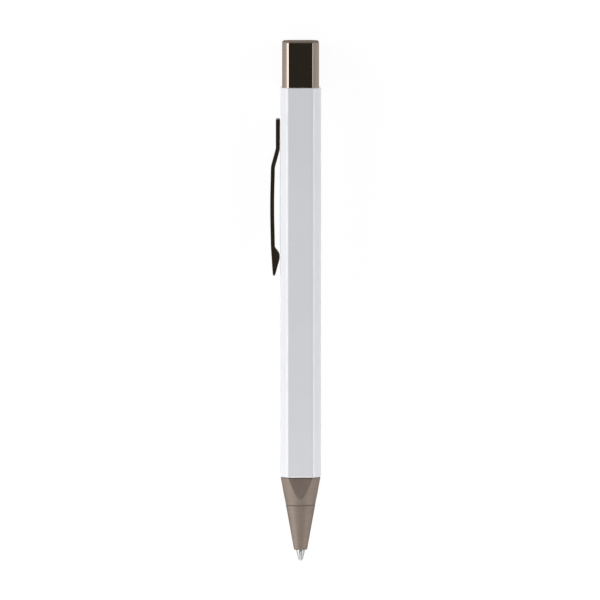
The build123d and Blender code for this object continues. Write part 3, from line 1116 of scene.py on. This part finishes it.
@dataclass
class NoseCone:
    """The round nose that unscrews, with its stepped bore and threaded spigot.

    Attributes:
        mouth_diameter: the hole's end.
        mouth_radius: how far its outer edge is rounded.
        parting_diameter: the end at the collar.
        parting_break: the broken edge there.
        nose_bore: the bore round the point.
        nose_bore_length: how deep that is.
        bore_break: how far its edge at the mouth is rounded.
        chamber: the bore round the spring.
        spigot_length: how far the thread reaches into the collar.
        thread_diameter: the thread's crest.
        thread_depth: its depth.
        thread_pitch: the distance between its turns.
        thread_crest: how wide its crest is.
    """

    mouth_diameter: float = 3.55 * MM
    mouth_radius: float = 0.25 * MM
    parting_diameter: float = 7.92 * MM
    parting_break: float = 0.12 * MM
    nose_bore: float = 2.56 * MM
    nose_bore_length: float = 6.2 * MM
    bore_break: float = 0.06 * MM
    chamber: float = 4.6 * MM
    spigot_length: float = 5.0 * MM
    thread_diameter: float = 6.0 * MM
    thread_depth: float = 0.2 * MM
    thread_pitch: float = 0.8 * MM
    thread_crest: float = 0.2 * MM

    def thread(self, parting: float) -> list[Corner]:
        """The thread's outline, up from the parting line.

        Args:
            parting: where that line lies along the pen.

        Returns:
            The outline's corners.
        """
        crest = self.thread_diameter / 2
        root = crest - self.thread_depth
        side = self.thread_depth / 2
        first = parting + self.thread_pitch / 2
        corners = []
        for turn in range(int((self.spigot_length - self.thread_pitch) / self.thread_pitch)):
            foot = first + self.thread_pitch * turn
            corners += [
                Corner(root, foot),
                Corner(crest, foot + side),
                Corner(crest, foot + side + self.thread_crest),
                Corner(root, foot + 2 * side + self.thread_crest),
            ]
        return corners

    def build(self) -> None:
        """Models the cone."""
        low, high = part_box("nose_cone")
        mouth, top = low.y, high.y
        parting = top - self.spigot_length
        shoulder = mouth + self.nose_bore_length
        wide = self.parting_diameter / 2
        root = self.thread_diameter / 2 - self.thread_depth
        bench = Bench.turned(
            "satin_nose",
            [
                Corner(self.nose_bore / 2, mouth, self.bore_break, BREAK_SEGMENTS),
                Corner(self.mouth_diameter / 2, mouth, self.mouth_radius, EDGE_SEGMENTS),
                Corner(wide, parting - self.parting_break),
                Corner(wide - self.parting_break, parting),
                Corner(root, parting),
                *self.thread(parting),
                Corner(root, top),
                Corner(self.chamber / 2, top),
                Corner(self.chamber / 2, shoulder),
                Corner(self.nose_bore / 2, shoulder),
            ],
            FINE_TURN,
        )
        report(bench.done(SATIN_GUNMETAL), "nose_cone", "nose_cone")


@dataclass
class PushButton:
    """The eight-sided button and the plunger in it.

    Attributes:
        chamfer: how much each corner takes off a side of its square section.
        edge_radius: how far the long edges are rounded.
        rim_radius: how far the top is rounded.
        crown: how full the polished corners are.
        bore: the hole for the plunger.
        bore_depth: how deep that is.
    """

    chamfer: float = 1.77 * MM
    edge_radius: float = 0.25 * MM
    rim_radius: float = 0.6 * MM
    crown: float = 0.12
    bore: float = 5.46 * MM
    bore_depth: float = 12.0 * MM

    def build(self) -> None:
        """Models the button and dresses the plunger."""
        low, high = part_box("push_button")
        shape = (self.chamfer, self.edge_radius, self.crown, self.rim_radius)
        bench = Bench.octagon("metal_button", low, high, *shape).leave()
        hole = Bench.rod(
            "hole", self.bore / 2, low.y - self.rim_radius, low.y + self.bore_depth, PLAIN_TURN
        )
        bench.merge(hole, Merge.CUT).done(POLISHED_GUNMETAL)
        piece = bench.accent(SATIN_GUNMETAL, lambda face: face.normal.y > LEANING)
        report(piece, "push_button", "push_button")
        CAM_PLASTIC.dress(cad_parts["thrust_cam"])


@dataclass
class SpringClip:
    """The bent strip that hooks into the barrel's wall.

    Attributes:
        width: the strip's width at its top.
        foot_width: its width at its foot.
        thickness: its thickness.
        seat_gap: the gap between its seat and the barrel.
        seat_length: the stretch that lies on the barrel.
        ramp_length: the stretch that leads away from it.
        standoff: how far the arm stands off.
        bow: how much further its middle stands off.
        bow_radius: the bow's radius.
        bend_radius: the bends' inner radius.
        corner_radius: the strip's corners, seen from the side.
        top_radius: its upper outer edge.
        tail_length: from the nub to the foot.
        nub_radius: the nub's rounding.
        nub_lead: the nub's slope in degrees.
        tail_dip: how far the tail leans in.
        tip_thickness: the foot's thickness.
        tip_radius: its rounding.
        tongue_drop: the tongue below the top.
        tongue_width: its width.
        tongue_thickness: its thickness.
        tongue_reach: how far it reaches through the wall.
        hook_thickness: the hook's thickness.
        hook_length: how far the hook reaches down.
    """

    width: float = 5.4 * MM
    foot_width: float = 4.4 * MM
    thickness: float = 1.07 * MM
    seat_gap: float = 0.02 * MM
    seat_length: float = 8.2 * MM
    ramp_length: float = 4.85 * MM
    standoff: float = 1.32 * MM
    bow: float = 0.25 * MM
    bow_radius: float = 200.0 * MM
    bend_radius: float = 3.0 * MM
    corner_radius: float = 0.5 * MM
    top_radius: float = 0.4 * MM
    tail_length: float = 5.6 * MM
    nub_radius: float = 2.6 * MM
    nub_lead: float = 37.0
    tail_dip: float = 0.52 * MM
    tip_thickness: float = 0.55 * MM
    tip_radius: float = 0.2 * MM
    tongue_drop: float = 0.9 * MM
    tongue_width: float = 3.0 * MM
    tongue_thickness: float = 0.8 * MM
    tongue_reach: float = 1.5 * MM
    hook_thickness: float = 0.5 * MM
    hook_length: float = 1.0 * MM

    def profile(self) -> list[Corner]:
        """The strip seen from its edge.

        Returns:
            Its corners, from the seat's top over the outer side and back along the inner one.
        """
        low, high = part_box("clip")
        top, foot = high.y, low.y
        inner = BARREL_LOW.x - self.seat_gap
        outer = inner - self.thickness
        arm_inner = inner - self.standoff
        arm_outer = outer - self.standoff
        tip_outer = arm_outer + self.tail_dip
        tip_inner = tip_outer + self.tip_thickness
        seat_foot = top - self.seat_length
        arm_head = seat_foot - self.ramp_length
        nub = foot + self.tail_length
        lead = math.radians(self.nub_lead)
        trail = math.atan((inner - tip_inner) / self.tail_length)
        blunt = (math.sin(lead) + math.sin(trail)) / math.sin(lead + trail) - 1
        sharp_nub = inner + self.nub_radius * blunt
        arm_foot = nub + (sharp_nub - arm_inner) / math.tan(lead)
        arm_middle = (arm_head + arm_foot) / 2
        shift = self.thickness * math.tan(math.atan(self.standoff / self.ramp_length) / 2)
        wide_bend = self.bend_radius + self.thickness
        return [
            Corner(inner, top),
            Corner(outer, top, self.top_radius),
            Corner(outer, seat_foot + shift, self.bend_radius),
            Corner(arm_outer, arm_head + shift, wide_bend),
            Corner(arm_outer - self.bow, arm_middle, self.bow_radius),
            Corner(arm_outer, arm_foot, wide_bend),
            Corner(tip_outer, foot, self.tip_radius),
            Corner(tip_inner, foot, self.tip_radius),
            Corner(sharp_nub, nub, self.nub_radius),
            Corner(arm_inner, arm_foot, self.tip_radius),
            Corner(arm_inner - self.bow, arm_middle, self.bow_radius - self.thickness),
            Corner(arm_inner, arm_head, self.bend_radius),
            Corner(inner, seat_foot, wide_bend),
        ]

    def strip(self) -> Bench:
        """Models the bent strip: its profile drawn out, tapered and rounded at the corners.

        Returns:
            The bench.
        """
        low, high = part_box("clip")
        half = Vector((0, 0, self.width / 2))
        side = [Vector((p.x, p.y, AXIS_Z)) - half for p in outline(self.profile())]
        bench = Bench.slab("clip_strip", side, 2 * half).leave()
        plan = [
            Corner(self.width / 2, high.y, self.corner_radius),
            Corner(self.foot_width / 2, low.y, self.corner_radius),
            Corner(-self.foot_width / 2, low.y, self.corner_radius),
            Corner(-self.width / 2, high.y, self.corner_radius),
        ]
        start = low.x - self.thickness
        face = [Vector((start, p.y, AXIS_Z + p.x)) for p in outline(plan)]
        blank = Bench.slab("blank", face, Vector((high.x - start, 0, 0))).leave()
        return bench.merge(blank, Merge.COMMON)

    def build(self) -> None:
        """Models the clip with its tongue and hook."""
        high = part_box("clip")[1]
        bench = self.strip().leave()
        head = high.y - self.tongue_drop
        foot = head - self.tongue_thickness
        hook_face = BARREL_LOW.x + self.tongue_reach
        half = Vector((0, 0, self.tongue_width / 2))
        start = BARREL_LOW.x - self.seat_gap - self.thickness / 2
        tongue = Bench.block(
            "tongue", Vector((start, foot, AXIS_Z)) - half, Vector((hook_face, head, AXIS_Z)) + half
        ).leave()
        hook_low = Vector((hook_face - self.hook_thickness, foot - self.hook_length, AXIS_Z)) - half
        hook_high = Vector((hook_face, foot + self.tongue_thickness / 2, AXIS_Z)) + half
        hook = Bench.block("hook", hook_low, hook_high).leave()
        tongue.merge(hook, Merge.ADD).leave()
        bench.merge(tongue, Merge.ADD)
        report(bench.done(CLIP_GUNMETAL), "clip", "clip")


@dataclass
class Refill:
    """The refill that slides: tube, ink, point, ball, return spring and turning cam.

    Attributes:
        ball_gap: the gap round the ball.
        tube_gap: the gap between the point's shank and the tube.
        spring_gap: the gap between the spring and the ears.
        rim_diameter: the point's rim round the ball.
        rim_radius: how far that is rounded.
        point_diameter: the point's shank.
        shank_break: how far its edge at the tube is rounded.
        cone_length: the point's cone.
        cone_radius: how far its end at the shank is rounded.
        socket_steps: how many straight bits the ball's socket has.
        tail_diameter: its tail in the tube.
        tail_length: how long that is.
        channel: the ink channel.
        tube_diameter: the tube.
        tube_bore: its bore.
        ear_thickness: the two ears' thickness.
        ear_height: their height along the tube.
        wire: the spring's wire.
        wire_sides: how many faces go round the wire.
        coil_diameter: the spring at the middle of its wire.
        coil_steps: how many straight bits a turn has.
        turns: the spring's turns.
    """

    ball_gap: float = 0.02 * MM
    tube_gap: float = 0.03 * MM
    spring_gap: float = 0.05 * MM
    rim_diameter: float = 1.2 * MM
    rim_radius: float = 0.04 * MM
    point_diameter: float = 2.3 * MM
    shank_break: float = 0.1 * MM
    cone_length: float = 2.3 * MM
    cone_radius: float = 0.3 * MM
    socket_steps: int = 10
    tail_diameter: float = 1.94 * MM
    tail_length: float = 4.0 * MM
    channel: float = 0.6 * MM
    tube_diameter: float = 3.0 * MM
    tube_bore: float = 2.0 * MM
    ear_thickness: float = 0.9 * MM
    ear_height: float = 1.6 * MM
    wire: float = 0.4 * MM
    wire_sides: int = 14
    coil_diameter: float = 3.8 * MM
    coil_steps: int = 40
    turns: int = 15

    def ball(self) -> bpy.types.Object:
        """Models the ball.

        Returns:
            The piece.
        """
        low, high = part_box("writing_ball")
        radius = (high.y - low.y) / 2
        corners = [
            Corner(0, low.y),
            Corner(radius, low.y, radius, BALL_SEGMENTS),
            Corner(radius, high.y, radius, BALL_SEGMENTS),
            Corner(0, high.y),
        ]
        return Bench.turned("point_ball", corners, SMALL_TURN).done(CARBIDE)

    def point(self) -> bpy.types.Object:
        """Models the metal point with its socket, channel and tail.

        Returns:
            The piece.
        """
        low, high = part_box("refill_tip")
        ball_low, ball_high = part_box("writing_ball")
        shank_top = high.y - self.tail_length - self.tube_gap
        shank = self.point_diameter / 2
        socket = (ball_high.y - ball_low.y) / 2 + self.ball_gap
        middle = (ball_low.y + ball_high.y) / 2
        mouth = math.sqrt(max(0.0, socket**2 - (middle - low.y) ** 2))
        throat = middle + math.sqrt(socket**2 - (self.channel / 2) ** 2)
        corners = [
            Corner(mouth, low.y),
            Corner(self.rim_diameter / 2, low.y, self.rim_radius, RIM_SEGMENTS),
            Corner(shank, low.y + self.cone_length, self.cone_radius, RIM_SEGMENTS),
            Corner(shank, shank_top, self.shank_break, BREAK_SEGMENTS),
            Corner(self.tail_diameter / 2, shank_top),
            Corner(self.tail_diameter / 2, high.y),
            Corner(self.channel / 2, high.y),
            Corner(self.channel / 2, throat),
        ]
        for step in range(1, self.socket_steps):
            share = step / self.socket_steps
            along = throat + (low.y - throat) * share
            corners.append(Corner(math.sqrt(max(0.0, socket**2 - (along - middle) ** 2)), along))
        return Bench.turned("point", corners, PLAIN_TURN).done(NICKEL_SILVER)

    def tube(self) -> bpy.types.Object:
        """Models the tube with its two ears.

        Returns:
            The piece.
        """
        low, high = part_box("refill_tube")
        bench = Bench.rod("ink_tube", self.tube_diameter / 2, low.y, high.y, PLAIN_TURN)
        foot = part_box("return_spring")[1].y + self.spring_gap
        ear_low = Vector((low.x, foot, AXIS_Z - self.ear_thickness / 2))
        ear_high = Vector((high.x, foot + self.ear_height, AXIS_Z + self.ear_thickness / 2))
        bench.merge(Bench.block("ears", ear_low, ear_high).leave(), Merge.ADD).leave()
        past = self.ear_thickness
        hole = Bench.rod("hole", self.tube_bore / 2, low.y - past, high.y + past, PLAIN_TURN)
        return bench.merge(hole, Merge.CUT).done(TUBE_PLASTIC)

    def spring(self) -> bpy.types.Object:
        """Models the spring: a ring of wire wound up along the axis.

        Returns:
            The piece.
        """
        low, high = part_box("return_spring")
        climb = high.y - low.y - self.wire
        bpy.ops.object.select_all(action="DESELECT")
        start = AXIS + Vector((self.coil_diameter / 2, low.y + self.wire / 2, 0))
        bpy.ops.mesh.primitive_circle_add(
            vertices=self.wire_sides, radius=self.wire / 2, location=start
        )
        bench = Bench("coil_spring").leave()
        winding = bench.piece.modifiers.new("winding", "SCREW")
        winding.axis = "Y"
        winding.steps = self.coil_steps
        winding.render_steps = self.coil_steps
        winding.iterations = self.turns
        winding.screw_offset = climb / self.turns
        pivot = bpy.data.objects.new("pivot", None)
        pivot.location = AXIS
        bpy.context.scene.collection.objects.link(pivot)
        winding.object = pivot
        bpy.context.view_layer.update()
        bpy.ops.object.modifier_apply(modifier=winding.name)
        bpy.data.objects.remove(pivot)
        bpy.ops.object.mode_set(mode="EDIT")
        bench.pick(Element.EDGE, lambda edge: edge.is_boundary)
        bpy.ops.mesh.edge_face_add()
        return bench.closed().done(SPRING_STEEL)

    def build(self) -> None:
        """Builds the refill's pieces and dresses what stays inside."""
        report(self.ball(), "writing_ball", "writing_ball")
        report(self.point(), "refill", "refill_tip")
        report(self.tube(), "refill", "refill_tube")
        spring = self.spring()
        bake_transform(spring)
        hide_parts("return_spring")
        LOG.info("%s between barrel and refill: %d faces", spring.name, len(spring.data.polygons))
        BLUE_INK.dress(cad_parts["ink_column"])
        CAM_PLASTIC.dress(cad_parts["cam_rotor"])


@dataclass
class Studio:
    """The white table, the light tent, the lamp beyond the point and the camera.

    A rise is how much of a direction points up, and a span how much of it points to a side.

    Attributes:
        distance: from the camera to the pen.
        sight: how many such distances the camera sees.
        tilt: how far the camera leans towards the button, in degrees.
        aim_along: the point of the axis at the picture's middle.
        aim_across: how far the picture's middle lies beside the axis.
        picture: what the picture's width shows at the pen.
        sensor: the camera's sensor width, in millimetres.
        table: the table's width.
        board: the table's own colour.
        hole_span: the angles from straight up over which the tent gets lighter, in degrees.
        hole_glow: how bright it is round the camera.
        hole_colour: its colour there.
        hole_fade: how many times sooner it turns white than bright.
        tent_glow: how bright the rest of it is.
        side_span: where its sides begin and where they are brightest.
        left_rise: the same, for the height of its left side.
        left_glow: how much brighter its left side is.
        right_rise: where the height of its right side begins and where it is brightest.
        right_glow: how much brighter its right side is.
        strip_span: where the strip lamp low at the left begins and where it is brightest.
        strip_rise: the same, for the height of its lower edge.
        strip_fall: the same, for the height of its upper edge.
        strip_glow: how much brighter it is.
        dim_span: where the tent beyond the button begins to get darker and where it is darkest.
        dim_glow: how much darker it is there.
        lamp_distance: the lamp beyond the point, from the pen's middle.
        lamp_height: how high it stands, in degrees.
        lamp_size: how wide it is.
        lamp_power: its power in watts.
        table_white: how white the table looks.
        table_shadow: how much of the pen's shadow shows on it.
    """

    distance: float = 2.4
    sight: float = 4.0
    tilt: float = 4.33
    aim_along: float = -4.935 * MM
    aim_across: float = -0.148 * MM
    picture: float = 161.4 * MM
    sensor: float = 36.0
    table: float = 6.0
    board: Colour = (0.86, 0.86, 0.86)
    hole_span: Span = (20.0, 80.0)
    hole_glow: float = 0.066
    hole_colour: Colour = (1.0, 0.93, 0.75)
    hole_fade: float = 4.0
    tent_glow: float = 0.84
    side_span: Span = (0.65, 0.9)
    left_rise: Span = (0.1, 0.3)
    left_glow: float = 3.2
    right_rise: Span = (0.22, 0.42)
    right_glow: float = 4.0
    strip_span: Span = (0.6, 0.85)
    strip_rise: Span = (0.02, 0.12)
    strip_fall: Span = (0.42, 0.3)
    strip_glow: float = 1.7
    dim_span: Span = (0.2, 0.9)
    dim_glow: float = 0.4
    lamp_distance: float = 0.5
    lamp_height: float = 28.0
    lamp_size: float = 0.22
    lamp_power: float = 0.85
    table_white: float = 1.08
    table_shadow: float = 0.15

    def camera(self) -> None:
        """Sets the camera above the pen, as in the photograph."""
        lean = math.radians(self.tilt)
        back = Vector((0, math.sin(lean), math.cos(lean)))
        aim = AXIS + Vector((self.aim_across, self.aim_along, 0))
        bpy.ops.object.camera_add(location=aim + back * self.distance, rotation=(-lean, 0, 0))
        camera = bpy.context.object
        camera.data.sensor_width = self.sensor
        camera.data.lens = self.sensor * self.distance / self.picture
        camera.data.clip_end = self.sight * self.distance
        bpy.context.scene.camera = camera

    def lamp_tent(self) -> None:
        """Lights the pen from a tent that is dark round the camera and brightest at its sides."""
        world = bpy.data.worlds.new("tent")
        bpy.context.scene.world = world
        world.use_nodes = True
        graph = Graph(world.node_tree)
        x, y, z = graph.axes(graph.node("ShaderNodeTexCoord", {}, {}, "Generated"))
        near, far = (math.cos(math.radians(angle)) for angle in self.hole_span)
        share = z.ramp((near, far))
        tent = share * (self.tent_glow - self.hole_glow) + self.hole_glow
        left = (-x).ramp(self.side_span) * z.ramp(self.left_rise) * self.left_glow
        right = x.ramp(self.side_span) * z.ramp(self.right_rise) * self.right_glow
        low_left = (-x).ramp(self.strip_span) * z.ramp(self.strip_rise)
        strip = low_left * z.ramp(self.strip_fall) * self.strip_glow
        dim = y.ramp(self.dim_span) * self.dim_glow
        glow = (tent + left + right + strip - dim).larger(0.0)
        colour = graph.blend(share * self.hole_fade, self.hole_colour, WHITE)
        light = graph.node("ShaderNodeBackground", {}, {"Color": colour, "Strength": glow})
        graph.node("ShaderNodeOutputWorld", {}, {"Surface": light})

    def nose_lamp(self) -> None:
        """Sets a square lamp beyond the point, so that the barrel is lighter at that end."""
        rise = math.radians(self.lamp_height)
        away = Vector((0, -math.cos(rise), math.sin(rise)))
        bpy.ops.object.light_add(
            type="AREA",
            location=AXIS + away * self.lamp_distance,
            rotation=away.to_track_quat("Z", "Y").to_euler(),
        )
        lamp = bpy.context.object
        lamp.name = "nose_lamp"
        lamp.data.size = self.lamp_size
        lamp.data.energy = self.lamp_power

    def floor(self) -> None:
        """Lays a white table under the pen, which keeps a faint shadow."""
        bpy.ops.object.select_all(action="DESELECT")
        bpy.ops.mesh.primitive_plane_add(size=self.table)
        table = bpy.context.object
        table.name = "table"
        made = bpy.data.materials.new("white_table")
        made.use_nodes = True
        graph = Graph(made.node_tree)
        rays = ("Is Camera Ray", "Is Glossy Ray", "Is Transmission Ray")
        camera, glossy, clear = (graph.node("ShaderNodeLightPath", {}, {}, ray) for ray in rays)
        seen = camera.larger(glossy).larger(clear)
        board = graph.node("ShaderNodeBsdfDiffuse", {}, {"Color": (*self.board, 1.0)})
        glow = graph.node("ShaderNodeEmission", {}, {"Strength": self.table_white})
        share = seen * (1 - self.table_shadow)
        surface = graph.node("ShaderNodeMixShader", {}, {0: share, 1: board, 2: glow})
        graph.node("ShaderNodeOutputMaterial", {}, {"Surface": surface})
        table.data.materials.append(made)

    def build(self) -> None:
        """Sets up the table, the light and the camera."""
        self.floor()
        self.lamp_tent()
        self.nose_lamp()
        self.camera()
        bpy.context.scene.view_settings.view_transform = "Standard"


def main() -> None:
    """Builds the pen and its studio."""
    logging.basicConfig(level=logging.INFO, format="%(name)s: %(message)s")
    for part in (Barrel(), NoseCone(), PushButton(), SpringClip(), Refill(), Studio()):
        part.build()


if __name__ == "__main__":
    main()
